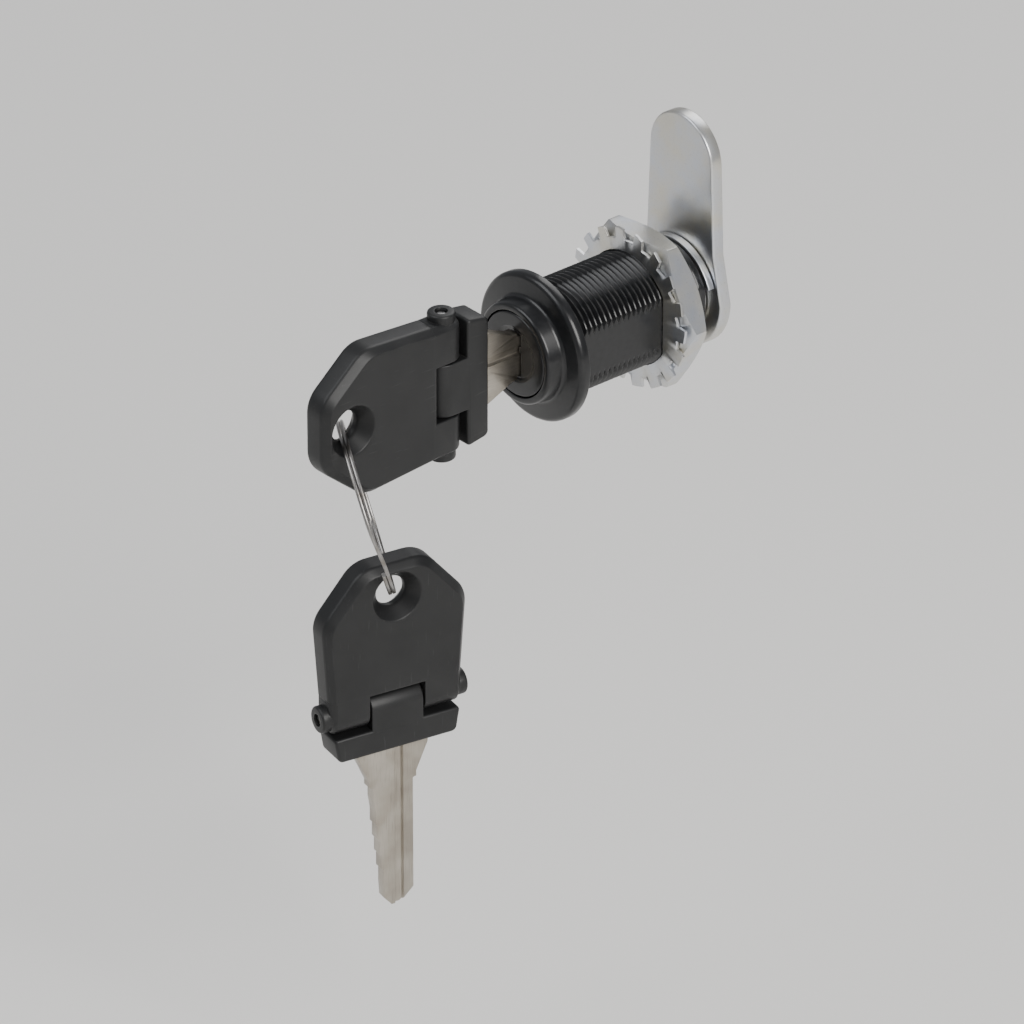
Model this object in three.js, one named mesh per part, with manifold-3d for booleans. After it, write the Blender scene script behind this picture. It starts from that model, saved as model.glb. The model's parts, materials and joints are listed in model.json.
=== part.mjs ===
// A furniture cam lock for an 18 mm board, with its folding key in the keyway and the spare key hanging from the
// first on a wire ring. Millimetres. The lock's axis is Y: the user stands at -Y, the cam is at +Y, and Z is up.
// The origin is on the lock's axis, in the plane where the flange's back lies on the face of the board.
import * as THREE from "three";
import { mergeVertices } from "three/addons/utils/BufferGeometryUtils.js";
import Module from "manifold-3d";

const wasm = await Module();
wasm.setup();

// ---------- driving dimensions ----------
const BOARD = 18; // thickness of the board that the lock is clamped to
const ROUND = 48; // sides of a large round shape

// Housing
const FLANGE_R = 12.2;
const FLANGE_T = 2.0;
const BOSS_R = 8.2; // raised boss round the plug
const FACE_Y = -5.0; // front face of boss and plug
const BODY_R = 9.3; // outside of the M19 thread
const BODY_END = 27.0;
const FLAT_HALF = 8.0; // half the width across the body's two flats
const BORE_R = 6.4;
const CHANNEL_R = 7.0; // how far the four wafer channels reach
const CHANNEL_HALF = 3.3;

// Plug
const PLUG_R = 6.25;
const PLUG_HEAD_R = 7.0;
const PLUG_HEAD_BACK = -2.6;
const TAIL_HALF = 3.8; // half the width of the square tail
const TAIL_END = 30.9;
const KEYWAY_HALF_X = 1.15;
const KEYWAY_HALF_Z = 3.7;
const KEYWAY_END = 17.6;
const WARD_Z = [0.5, 1.5]; // the keyway's two ribs, which run in the blade's grooves
const WARD_INNER_X = 0.65;

// Wafers, with their springs beside them
const WAFER_COUNT = 5;
const WAFER_FIRST_Y = 0.4;
const WAFER_PITCH = 2.8;
const WAFER_T = 0.9;
const WAFER_HALF_X = 3.0;
const WAFER_END_R = 6.15;
const WINDOW_HALF_X = 1.3;
const WINDOW_TOP = 3.75;
const ARM_Z = [0.6, 1.5]; // the hook that the spring pushes up
const SPRING_X = 4.15;
const SPRING_R = 0.75;
const SPRING_WIRE_R = 0.13;
const POCKET_R = 0.9;
const POCKET_FLOOR = -3.3;
const RETAINER_Y = 22.3;

// Rear stack on the plug's tail
const STOP_WASHER_Y = [27.3, 28.5];
const STOP_R = 9.0;
const LUG_ANGLES = [160, 200]; // housing's stop lug, clockwise from the top as the user sees it
const TURN = 90;
const CAM_Y = [28.7, 31.0];
const CAM_REACH = 30;
const SPRING_WASHER_Y = [31.1, 32.3];
const SCREW_HEAD_Y = [32.4, 35.2];

// Clamping nut and toothed washer
const NUT_ACROSS_FLATS = 24;
const TOOTH_WASHER_Y = [BOARD, BOARD + 0.8];
const NUT_Y = [BOARD + 0.9, BOARD + 5.4];

// Key, in the lock's frame as it stands in the keyway
const BLADE_HALF_X = 1.0;
const BLADE_HALF_Z = 3.5;
const BLADE_TIP = 16.8;
const CUT_STEP = 0.35; // each cut is this much deeper than the one before it
const HEAD_NEAR_Y = -12.3;
const HEAD_FAR_Y = -44.7;
const HEAD_HALF_T = 2.75;
const HINGE_Y = -19.5;
const HINGE_GAP = 3.0; // from the hinge's axis to the block's and the grip's end faces
const KNUCKLE_HALF_Z = 4.5; // half the length of the block's knuckle
const PIN_R = 0.95;
const BUMP_R = 2.2; // bosses round the pin's ends, on the grip's edges
const BUMP_END_Z = 12.7;
const HOLE_Y = -39.1;
const HOLE_R = 2.5;
const FLARE_SLOPE = 0.8; // how fast the hole widens from its throat to either face
const THROAT_HALF = 0.5;

// Ring and hanging spare key
const RING_R = 13.4; // to the middle of the wire
const RING_HALF_T = 0.45;
const RING_HALF_W = 0.65;
const RING_LEAN = THREE.MathUtils.degToRad(15);
const RING_HEADING = THREE.MathUtils.degToRad(-32); // of the wire's direction in the hole, from +X
const SPARE_HEADING = THREE.MathUtils.degToRad(-11); // of the spare key's face, from +X
const REST_GAP = 0.35;

// ---------- materials ----------
const metal = (color, roughness, metalness = 1) => new THREE.MeshStandardMaterial({ color, roughness, metalness });
const blackMetal = metal(0x17181a, 0.35, 0.6);
const zincPlated = metal(0xb9bcc0, 0.38);
const brass = metal(0xb9924b, 0.4);
const springSteel = metal(0x9a9c9e, 0.35);
const nickel = metal(0xa9a39a, 0.3);
const blackPlastic = metal(0x1b1c1d, 0.42, 0);

// ---------- solids ----------
// A closed three.js geometry as a manifold-3d solid, its faces turned outwards.
function solid(geometry) {
  const bare = geometry.index ? geometry.clone() : mergeVertices(new THREE.BufferGeometry().copy(geometry));
  bare.deleteAttribute("normal");
  bare.deleteAttribute("uv");
  const merged = mergeVertices(bare, 1e-4);
  const faces = [];
  const index = merged.index.array;
  for (let i = 0; i < index.length; i += 3) {
    const [a, b, c] = [index[i], index[i + 1], index[i + 2]];
    if (a !== b && b !== c && c !== a) faces.push(a, b, c);
  }
  const build = (triVerts) =>
    new wasm.Manifold(
      new wasm.Mesh({
        numProp: 3,
        vertProperties: new Float32Array(merged.attributes.position.array),
        triVerts: new Uint32Array(triVerts),
      }),
    );
  const made = build(faces);
  return made.volume() < 0 ? build(faces.reverse()) : made;
}

function piece(name, made, material) {
  const m = made.getMesh();
  const geometry = new THREE.BufferGeometry();
  geometry.setAttribute("position", new THREE.BufferAttribute(new Float32Array(m.vertProperties), 3));
  geometry.setIndex(new THREE.BufferAttribute(new Uint32Array(m.triVerts), 1));
  geometry.computeVertexNormals();
  const mesh = new THREE.Mesh(geometry, material);
  mesh.name = name;
  return mesh;
}

// A box from its low and high limits along each axis.
function block([x0, x1], [y0, y1], [z0, z1]) {
  const box = new THREE.BoxGeometry(x1 - x0, y1 - y0, z1 - z0);
  return solid(box.translate((x0 + x1) / 2, (y0 + y1) / 2, (z0 + z1) / 2));
}

// A round bar along Y, or along Z, through the point (x, y).
function barY(r, [y0, y1], sides = ROUND) {
  return solid(new THREE.CylinderGeometry(r, r, y1 - y0, sides).translate(0, (y0 + y1) / 2, 0));
}

function barZ(r, [z0, z1], x, y, sides = 20) {
  const bar = new THREE.CylinderGeometry(r, r, z1 - z0, sides).rotateX(Math.PI / 2);
  return solid(bar.translate(x, y, (z0 + z1) / 2));
}

// A profile of [radius, y] points turned about the Y axis.
function lathe(profile, sides) {
  const points = profile.map(([r, y]) => new THREE.Vector2(r, y));
  return new THREE.LatheGeometry(points, sides);
}

const turned = (profile, sides = ROUND) => solid(lathe(profile, sides));

// A shape drawn in X and Z, extruded along Y.
function plateY(shape, [y0, y1], curveSegments = 8) {
  const plate = new THREE.ExtrudeGeometry(shape, { depth: y1 - y0, bevelEnabled: false, curveSegments });
  return solid(plate.rotateX(Math.PI / 2).translate(0, y1, 0));
}

// A shape drawn in Y and Z, extruded along X to both sides of the middle plane.
function plateX(shape, halfT, curveSegments = 6) {
  const plate = new THREE.ExtrudeGeometry(shape, { depth: 2 * halfT, bevelEnabled: false, curveSegments });
  plate.translate(0, 0, -halfT);
  plate.applyMatrix4(new THREE.Matrix4().set(0, 0, 1, 0, 1, 0, 0, 0, 0, 1, 0, 0, 0, 0, 0, 1));
  return solid(plate);
}

function outline(points) {
  return new THREE.Shape(points.map(([a, b]) => new THREE.Vector2(a, b)));
}

// A sector between two radii. Angles in degrees, clockwise from the top as the user sees it.
function sector(r0, r1, from, to) {
  const turn = (deg) => THREE.MathUtils.degToRad(90 - deg);
  const shape = new THREE.Shape();
  shape.absarc(0, 0, r1, turn(from), turn(to), true);
  shape.absarc(0, 0, r0, turn(to), turn(from), false);
  shape.closePath();
  return shape;
}

// ---------- lock ----------
function housing() {
  const edge = 0.7;
  let made = turned([
    [BORE_R, BODY_END],
    [BORE_R, PLUG_HEAD_BACK + 0.15],
    [PLUG_HEAD_R + 0.15, PLUG_HEAD_BACK + 0.15],
    [PLUG_HEAD_R + 0.15, FACE_Y],
    [BOSS_R - edge, FACE_Y],
    [BOSS_R - 0.3 * edge, FACE_Y + 0.3 * edge],
    [BOSS_R, FACE_Y + edge],
    [BOSS_R + 0.4, -FLANGE_T - 0.7],
    [BOSS_R + 1.1, -FLANGE_T],
    [FLANGE_R - 1.1, -FLANGE_T + 0.3],
    [FLANGE_R - 0.3, -FLANGE_T + 0.8],
    [FLANGE_R, -FLANGE_T + 1.3],
    [FLANGE_R, 0],
    [BODY_R, 0],
    [BODY_R, BODY_END - edge],
    [BODY_R - edge, BODY_END],
    [BORE_R, BODY_END],
  ]);
  const flatRun = [2.0, BODY_END + 1];
  const tall = [-BODY_R - 1, BODY_R + 1];
  made = made
    .subtract(block([FLAT_HALF, BODY_R + 1], flatRun, tall))
    .subtract(block([-BODY_R - 1, -FLAT_HALF], flatRun, tall));
  // The channels that the wafers spring into, at the plug's two stopping places
  const channelRun = [-1.5, BODY_END + 1];
  const across = [-CHANNEL_HALF, CHANNEL_HALF];
  const along = [-CHANNEL_R, CHANNEL_R];
  made = made.subtract(block(across, channelRun, along)).subtract(block(along, channelRun, across));
  // The ring groove in which the retaining wafer turns
  made = made.subtract(barY(CHANNEL_R + 0.15, [RETAINER_Y - 0.8, RETAINER_Y + 0.8]));
  const lug = sector(CHANNEL_R + 0.1, STOP_R, ...LUG_ANGLES);
  return made.add(plateY(lug, [BODY_END - 0.4, STOP_WASHER_Y[1] - 0.1]));
}

const waferY = (i) => WAFER_FIRST_Y + WAFER_PITCH * i;
const slotHalf = WAFER_T / 2 + 0.1;

function plug() {
  const rim = 0.35;
  let made = turned([
    [0, FACE_Y + 0.4],
    [3.9, FACE_Y + 0.4],
    [4.7, FACE_Y],
    [PLUG_HEAD_R - rim, FACE_Y],
    [PLUG_HEAD_R, FACE_Y + rim],
    [PLUG_HEAD_R, PLUG_HEAD_BACK],
    [PLUG_R, PLUG_HEAD_BACK],
    [PLUG_R, BODY_END + 0.1],
    [0, BODY_END + 0.1],
  ]);
  made = made.add(block([-TAIL_HALF, TAIL_HALF], [BODY_END - 1, TAIL_END], [-TAIL_HALF, TAIL_HALF]));
  let keyway = block([-KEYWAY_HALF_X, KEYWAY_HALF_X], [FACE_Y - 1, KEYWAY_END], [-KEYWAY_HALF_Z, KEYWAY_HALF_Z]);
  for (const side of [-1, 1]) {
    const rib = [side * WARD_INNER_X, side * (KEYWAY_HALF_X + 1)].sort((a, b) => a - b);
    keyway = keyway.subtract(block(rib, [FACE_Y - 2, KEYWAY_END + 1], WARD_Z));
  }
  made = made.subtract(keyway);
  for (let i = 0; i < WAFER_COUNT; i++) {
    const run = [waferY(i) - slotHalf, waferY(i) + slotHalf];
    made = made
      .subtract(block([-WAFER_HALF_X - 0.1, WAFER_HALF_X + 0.1], run, [-7, 7]))
      .subtract(block([WAFER_HALF_X, SPRING_X + 0.5], run, [ARM_Z[0] - 0.3, 7]))
      .subtract(barZ(POCKET_R, [POCKET_FLOOR, 7], SPRING_X, waferY(i)));
  }
  made = made.subtract(block([-2.75, 2.75], [RETAINER_Y - 0.65, RETAINER_Y + 0.65], [-4.8, 7]));
  return made.subtract(barY(2.6, [23.8, TAIL_END + 1], 24)); // tapped hole for the cam's screw
}

// The depth of the cut that wafer i rests on: the cuts step down towards the tip.
const cutDepth = (i) => CUT_STEP * (i + 1);

function wafer(i) {
  const y = [waferY(i) - WAFER_T / 2, waferY(i) + WAFER_T / 2];
  const end = new THREE.Shape();
  end.absarc(0, 0, WAFER_END_R, 0, 2 * Math.PI, false);
  const bearing = -(BLADE_HALF_Z - cutDepth(i) + 0.1);
  return plateY(end, y, 24)
    .intersect(block([-WAFER_HALF_X, WAFER_HALF_X], [-10, 30], [-7, 7]))
    .add(block([WAFER_HALF_X - 0.5, SPRING_X + 0.65], y, ARM_Z))
    .subtract(block([-WINDOW_HALF_X, WINDOW_HALF_X], [-10, 30], [bearing, WINDOW_TOP]));
}

// A coil spring standing along Z.
class Helix extends THREE.Curve {
  constructor(radius, turns, bottom, top, x, y) {
    super();
    Object.assign(this, { radius, turns, bottom, top, x, y });
  }
  getPoint(t, target = new THREE.Vector3()) {
    const a = 2 * Math.PI * this.turns * t;
    const z = this.bottom + (this.top - this.bottom) * t;
    return target.set(this.x + this.radius * Math.cos(a), this.y + this.radius * Math.sin(a), z);
  }
}

function coil(radius, wireR, turns, [bottom, top], x, y) {
  const section = new THREE.Shape().absarc(0, 0, wireR, 0, 2 * Math.PI, false);
  const extrudePath = new Helix(radius - wireR, turns, bottom + wireR, top - wireR, x, y);
  return solid(new THREE.ExtrudeGeometry(section, { steps: turns * 8, curveSegments: 2, extrudePath }));
}

function retainer() {
  const y = [RETAINER_Y - 0.55, RETAINER_Y + 0.55];
  const end = new THREE.Shape();
  end.absarc(0, 0, CHANNEL_R, 0, 2 * Math.PI, false);
  return plateY(end, y, 24).intersect(block([-2.6, 2.6], [20, 25], [-1.5, 8]));
}

function stopWasher() {
  const clearance = 0.5;
  const notch = sector(6.6, STOP_R + 1, LUG_ANGLES[0] - TURN - clearance, LUG_ANGLES[1] + clearance);
  return barY(STOP_R, STOP_WASHER_Y)
    .subtract(plateY(notch, [STOP_WASHER_Y[0] - 1, STOP_WASHER_Y[1] + 1], 16))
    .subtract(squareHole(STOP_WASHER_Y));
}

function squareHole([y0, y1]) {
  const half = TAIL_HALF + 0.1;
  return block([-half, half], [y0 - 1, y1 + 1], [-half, half]);
}

// A straight cam: a round hub that narrows to an arm with a round end.
function cam() {
  const hub = 9.6;
  const tip = 7.2;
  const shape = new THREE.Shape();
  shape.absarc(0, 0, hub, Math.PI, 2 * Math.PI, false);
  shape.lineTo(tip + 0.6, 8);
  shape.lineTo(tip, CAM_REACH - tip);
  shape.absarc(0, CAM_REACH - tip, tip, 0, Math.PI, false);
  shape.lineTo(-tip - 0.6, 8);
  shape.closePath();
  return plateY(shape, CAM_Y, 12).subtract(squareHole(CAM_Y));
}

function springWasher() {
  return barY(4.4, SPRING_WASHER_Y, 32)
    .subtract(barY(2.7, [SPRING_WASHER_Y[0] - 1, SPRING_WASHER_Y[1] + 1], 32))
    .subtract(block([-0.35, 0.35], [30, 34], [1, 6]));
}

function camScrew() {
  const [under, top] = SCREW_HEAD_Y;
  const recess = [top - 1.7, top + 1];
  return turned(
    [
      [0, 24.4],
      [1.9, 24.4],
      [2.45, 25.0],
      [2.45, under],
      [4.6, under],
      [4.6, top - 1.1],
      [3.9, top - 0.3],
      [2.4, top],
      [0, top],
    ],
    32,
  )
    .subtract(block([-0.55, 0.55], recess, [-2.4, 2.4]))
    .subtract(block([-2.4, 2.4], recess, [-0.55, 0.55]));
}

// The hole that slides over the threaded body and its flats.
function bodyHole([y0, y1]) {
  const run = [y0 - 1, y1 + 1];
  const half = FLAT_HALF + 0.15;
  return barY(BODY_R + 0.15, run).intersect(block([-half, half], run, [-12, 12]));
}

function toothedWasher() {
  const teeth = 18;
  const points = Array.from({ length: teeth * 4 }, (_, i) => {
    const r = i % 4 < 2 ? 13.2 : 11.6;
    const a = (2 * Math.PI * (i + 0.5)) / (teeth * 4);
    return [r * Math.cos(a), r * Math.sin(a)];
  });
  return plateY(outline(points), TOOTH_WASHER_Y).subtract(bodyHole(TOOTH_WASHER_Y));
}

function hexNut() {
  const corner = NUT_ACROSS_FLATS / 2 / Math.cos(Math.PI / 6);
  const points = Array.from({ length: 6 }, (_, i) => {
    const a = (Math.PI / 3) * i;
    return [corner * Math.cos(a), corner * Math.sin(a)];
  });
  const hole = barY(BODY_R + 0.15, [NUT_Y[0] - 1, NUT_Y[1] + 1]);
  return plateY(outline(points), NUT_Y).subtract(hole);
}

// ---------- key ----------
function blade() {
  const lowerEdge = [];
  for (let i = WAFER_COUNT - 1; i >= 0; i--) {
    const z = -(BLADE_HALF_Z - cutDepth(i));
    const reach = WAFER_PITCH / 2;
    lowerEdge.push([waferY(i) + reach - 0.2, z], [waferY(i) - reach + 0.2, z]);
  }
  const shape = outline([
    [HEAD_NEAR_Y - 2.6, 5.0],
    [HEAD_NEAR_Y, 5.0],
    [HEAD_NEAR_Y, 6.0],
    [HEAD_NEAR_Y + 1.2, 6.0],
    [FACE_Y - 1.2, 4.1],
    [FACE_Y - 0.15, 4.1],
    [FACE_Y - 0.15, BLADE_HALF_Z],
    [BLADE_TIP - 2.2, BLADE_HALF_Z],
    [BLADE_TIP, 1.2],
    [BLADE_TIP, -0.4],
    [BLADE_TIP - 1.4, -1.6],
    ...lowerEdge,
    [-3.0, -BLADE_HALF_Z],
    [FACE_Y - 0.15, -BLADE_HALF_Z],
    [FACE_Y - 0.15, -4.1],
    [FACE_Y - 1.2, -4.1],
    [HEAD_NEAR_Y + 1.2, -6.0],
    [HEAD_NEAR_Y, -6.0],
    [HEAD_NEAR_Y, -5.0],
    [HEAD_NEAR_Y - 2.6, -5.0],
  ].reverse());
  const grooveZ = [WARD_Z[0] - 0.15, WARD_Z[1] + 0.15];
  const grooveRun = [FACE_Y - 0.6, BLADE_TIP + 1];
  return plateX(shape, BLADE_HALF_X)
    .subtract(block([0.5, 2], grooveRun, grooveZ))
    .subtract(block([-2, -0.5], grooveRun, grooveZ));
}

const pinHole = () => barZ(PIN_R + 0.12, [-20, 20], 0, HINGE_Y);

// The plastic block moulded on the blade's tang, with the middle knuckle of the hinge.
function shankBlock() {
  const near = HEAD_NEAR_Y;
  const far = HINGE_Y + HINGE_GAP;
  const plate = outline([
    [near, -10.3],
    [near, 10.3],
    [near - 0.5, 10.7],
    [far, 11.0],
    [far, -11.0],
    [near - 0.5, -10.7],
  ]);
  const tang = block([-BLADE_HALF_X - 0.1, BLADE_HALF_X + 0.1], [near - 2.7, near + 1], [-5.1, 5.1]);
  const knuckle = [-KNUCKLE_HALF_Z, KNUCKLE_HALF_Z];
  return plateX(plate, HEAD_HALF_T)
    .add(block([-HEAD_HALF_T, HEAD_HALF_T], [HINGE_Y, far + 0.2], knuckle))
    .add(barZ(HEAD_HALF_T, knuckle, 0, HINGE_Y, 24))
    .subtract(pinHole())
    .subtract(tang);
}

// The folding grip, with the two outer knuckles and the flared hole for the ring.
function grip() {
  const near = HINGE_Y - HINGE_GAP;
  const wide = 12.6;
  const shape = new THREE.Shape();
  shape.moveTo(near, -11.6);
  shape.lineTo(near, 11.6);
  shape.lineTo(-34.0, wide);
  shape.quadraticCurveTo(-36.2, wide, -37.6, 11.6);
  shape.lineTo(-43.0, 7.0);
  shape.quadraticCurveTo(HEAD_FAR_Y, 5.4, HEAD_FAR_Y, 3.0);
  shape.lineTo(HEAD_FAR_Y, -3.0);
  shape.quadraticCurveTo(HEAD_FAR_Y, -5.4, -43.0, -7.0);
  shape.lineTo(-37.6, -11.6);
  shape.quadraticCurveTo(-36.2, -wide, -34.0, -wide);
  let made = plateX(shape, HEAD_HALF_T);
  const ear = [KNUCKLE_HALF_Z + 0.3, 11.5];
  for (const side of [-1, 1]) {
    const span = ear.map((z) => side * z).sort((a, b) => a - b);
    const cap = [ear[1] - 1, BUMP_END_Z].map((z) => side * z).sort((a, b) => a - b);
    made = made
      .add(block([-HEAD_HALF_T, HEAD_HALF_T], [near - 0.2, HINGE_Y], span))
      .add(barZ(HEAD_HALF_T, span, 0, HINGE_Y, 24))
      .add(barZ(BUMP_R, cap, 0, HINGE_Y, 16));
  }
  const mouthX = HEAD_HALF_T + 0.5;
  const mouthR = HOLE_R + FLARE_SLOPE * (mouthX - THROAT_HALF);
  const flare = lathe(
    [
      [0, -mouthX],
      [mouthR, -mouthX],
      [HOLE_R, -THROAT_HALF],
      [HOLE_R, THROAT_HALF],
      [mouthR, mouthX],
      [0, mouthX],
    ],
    24,
  );
  flare.rotateZ(Math.PI / 2).translate(0, HOLE_Y, 0);
  return made.subtract(solid(flare)).subtract(pinHole());
}

const hingePin = () => barZ(PIN_R, [-BUMP_END_Z + 0.5, BUMP_END_Z - 0.5], 0, HINGE_Y, 16);

// One whole key, standing in the keyway.
function key(prefix) {
  const group = new THREE.Group();
  group.add(piece(prefix + "_blade", blade(), nickel));
  group.add(piece(prefix + "_shank_block", shankBlock(), blackPlastic));
  group.add(piece(prefix + "_grip", grip(), blackPlastic));
  group.add(piece(prefix + "_hinge_pin", hingePin(), springSteel));
  return group;
}

// ---------- ring and spare key, hung from the first key's hole ----------
// The wire lies along wireDir in both holes, and the ring leans to sideDir from plumb.
const wireDir = new THREE.Vector3(Math.cos(RING_HEADING), Math.sin(RING_HEADING), 0);
const sideDir = new THREE.Vector3(-wireDir.y, wireDir.x, 0);
const ringDown = sideDir.clone().multiplyScalar(Math.sin(RING_LEAN));
ringDown.z = -Math.cos(RING_LEAN);
const ringTop = new THREE.Vector3(0, HOLE_Y, -HOLE_R + RING_HALF_T + REST_GAP);
const ringBottom = ringTop.clone().addScaledVector(ringDown, 2 * RING_R);

function keyRing() {
  const torus = new THREE.TorusGeometry(RING_R, RING_HALF_T, 8, 44).scale(1, 1, RING_HALF_W / RING_HALF_T);
  const axis = new THREE.Vector3().crossVectors(wireDir, ringDown);
  const centre = ringTop.clone().addScaledVector(ringDown, RING_R);
  torus.applyMatrix4(new THREE.Matrix4().makeBasis(wireDir, ringDown, axis).setPosition(centre));
  return solid(torus);
}

function spareKey() {
  const group = key("spare_key");
  const face = new THREE.Vector3(Math.cos(SPARE_HEADING), Math.sin(SPARE_HEADING), 0);
  const down = new THREE.Vector3(0, 0, -1);
  const width = new THREE.Vector3().crossVectors(face, down);
  const hangs = ringBottom.clone();
  hangs.z += RING_HALF_T + REST_GAP + (HOLE_Y - HOLE_R);
  group.applyMatrix4(new THREE.Matrix4().makeBasis(face, down, width).setPosition(hangs));
  return group;
}

// ---------- assembly ----------
const lock = new THREE.Group();
lock.add(piece("housing", housing(), blackMetal));
lock.add(piece("plug", plug(), blackMetal));
for (let i = 0; i < WAFER_COUNT; i++) {
  lock.add(piece("wafer_" + (i + 1), wafer(i), brass));
  const spring = coil(SPRING_R, SPRING_WIRE_R, 5, [POCKET_FLOOR + 0.1, ARM_Z[0] - 0.1], SPRING_X, waferY(i));
  lock.add(piece("wafer_spring_" + (i + 1), spring, springSteel));
}
lock.add(piece("retaining_wafer", retainer(), brass));
lock.add(piece("retaining_spring", coil(0.55, 0.12, 4, [-4.7, -1.6], 0, RETAINER_Y), springSteel));
lock.add(piece("toothed_washer", toothedWasher(), zincPlated));
lock.add(piece("hex_nut", hexNut(), zincPlated));
lock.add(piece("stop_washer", stopWasher(), zincPlated));
lock.add(piece("cam", cam(), zincPlated));
lock.add(piece("spring_washer", springWasher(), springSteel));
lock.add(piece("cam_screw", camScrew(), zincPlated));
lock.add(key("main_key"));
lock.add(piece("key_ring", keyRing(), springSteel));
lock.add(spareKey());

export default lock;
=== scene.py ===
import json
import math

import bmesh
import bpy
import numpy as np
from mathutils import Matrix, Vector


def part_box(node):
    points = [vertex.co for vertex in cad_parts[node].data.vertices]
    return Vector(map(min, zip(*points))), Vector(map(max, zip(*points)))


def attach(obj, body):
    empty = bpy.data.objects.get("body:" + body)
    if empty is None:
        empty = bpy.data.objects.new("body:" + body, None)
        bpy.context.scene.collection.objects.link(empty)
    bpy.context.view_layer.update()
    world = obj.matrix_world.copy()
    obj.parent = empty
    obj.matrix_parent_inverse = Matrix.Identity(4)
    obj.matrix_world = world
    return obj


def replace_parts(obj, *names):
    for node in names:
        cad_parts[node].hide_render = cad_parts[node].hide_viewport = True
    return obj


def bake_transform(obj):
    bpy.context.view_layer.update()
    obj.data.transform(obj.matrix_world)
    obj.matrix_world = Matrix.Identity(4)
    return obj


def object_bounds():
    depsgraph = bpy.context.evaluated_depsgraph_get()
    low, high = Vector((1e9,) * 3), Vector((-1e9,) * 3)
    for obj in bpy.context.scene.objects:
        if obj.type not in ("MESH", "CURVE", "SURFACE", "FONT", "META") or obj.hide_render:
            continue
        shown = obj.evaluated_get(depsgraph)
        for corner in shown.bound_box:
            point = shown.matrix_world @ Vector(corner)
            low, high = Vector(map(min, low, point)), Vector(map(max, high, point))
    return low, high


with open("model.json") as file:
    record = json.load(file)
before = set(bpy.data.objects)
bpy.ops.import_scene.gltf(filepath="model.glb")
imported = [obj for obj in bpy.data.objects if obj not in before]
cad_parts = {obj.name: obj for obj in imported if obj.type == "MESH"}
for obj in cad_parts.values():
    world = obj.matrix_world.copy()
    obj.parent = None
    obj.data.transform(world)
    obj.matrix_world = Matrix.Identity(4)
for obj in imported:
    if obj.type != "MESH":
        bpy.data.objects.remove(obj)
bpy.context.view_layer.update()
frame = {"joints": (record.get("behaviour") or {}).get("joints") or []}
joints = {joint["name"]: joint for joint in frame["joints"]}

# ------------------------------------------------------------------------------------------------
# Housing: one zinc die casting in black plating. Its round flange lies on the board, a raised boss
# frames the plug, and the body behind is threaded for the nut and flatted so that it cannot turn.
# The wafers spring out into four channels along the bore. The lug on the rear end stops the cam.
# ------------------------------------------------------------------------------------------------
MM = 0.001
TURN = 2 * np.pi


def limits(node):
    """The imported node's lowest and highest corners, in millimetres."""
    return [np.array(corner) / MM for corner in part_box(node)]


def tidied(mesh, crease=34):
    """Joins points that coincide, turns every face outwards, and shades smooth up to the crease angle."""
    work = bmesh.new()
    work.from_mesh(mesh)
    bmesh.ops.remove_doubles(work, verts=work.verts, dist=1e-7)
    bmesh.ops.recalc_face_normals(work, faces=work.faces)
    work.to_mesh(mesh)
    work.free()
    mesh.shade_smooth()
    mesh.set_sharp_from_angle(angle=math.radians(crease))
    return mesh


def skin(name, rings, looped=False):
    """A closed solid from a grid of points in millimetres. Point j of ring i is joined to point j + 1 of
    its own ring, the last to the first, and to point j of ring i + 1. A looped skin's last ring meets its
    first ring; any other has a flat face across each end, which vanishes where the ring has shrunk to a
    point."""
    rings = np.asarray(rings, float)
    rows, columns = rings.shape[:2]
    row = np.arange(rows if looped else rows - 1)[:, None]
    column = np.arange(columns)[None, :]
    here, beyond = row * columns, (row + 1) % rows * columns
    along = (column + 1) % columns
    corners = np.broadcast_arrays(here + column, here + along, beyond + along, beyond + column)
    faces = np.stack(corners, -1).reshape(-1, 4).tolist()
    if not looped:
        faces += [list(range(columns)), list(range((rows - 1) * columns, rows * columns))]
    mesh = bpy.data.meshes.new(name)
    mesh.from_pydata((rings.reshape(-1, 3) * MM).tolist(), [], faces)
    piece = bpy.data.objects.new(name, tidied(mesh))
    bpy.context.scene.collection.objects.link(piece)
    return piece


def rounded(corners, radius, steps=5, closed=True):
    """The points of an outline whose corners are arcs. With a corner's half angle h, an arc of radius r
    leaves each side r / tan(h) from the corner, about a centre r / sin(h) along the line that halves the
    corner. An open outline keeps its first and last corner as they are."""
    corner = np.asarray(corners, float)
    radius = np.broadcast_to(np.asarray(radius, float), len(corner))[:, None]
    back = np.roll(corner, 1, 0) - corner
    ahead = np.roll(corner, -1, 0) - corner
    back /= np.linalg.norm(back, axis=1, keepdims=True)
    ahead /= np.linalg.norm(ahead, axis=1, keepdims=True)
    half = np.arccos(np.clip((back * ahead).sum(1, keepdims=True), -1, 1)) / 2
    middle = back + ahead
    middle /= np.linalg.norm(middle, axis=1, keepdims=True)
    centre = corner + middle * radius / np.sin(half)
    first = corner + back * radius / np.tan(half) - centre
    last = corner + ahead * radius / np.tan(half) - centre
    sweep = (np.pi - 2 * half)[:, None]
    share = np.linspace(0, 1, steps)[None, :, None]
    arcs = np.sin((1 - share) * sweep) * first[:, None] + np.sin(share * sweep) * last[:, None]
    points = (centre[:, None] + arcs / np.sin(sweep)).reshape(-1, 2)
    if closed:
        return points
    return np.vstack([corner[:1], points[steps:-steps], corner[-1:]])


def laps(radius, height, angle):
    """Rings round the lock's axis: each row's radius and height is a number, or one value for every angle."""
    radius, height, angle = np.broadcast_arrays(radius, height, angle)
    return np.stack([radius * np.cos(angle), height, radius * np.sin(angle)], -1)


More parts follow.
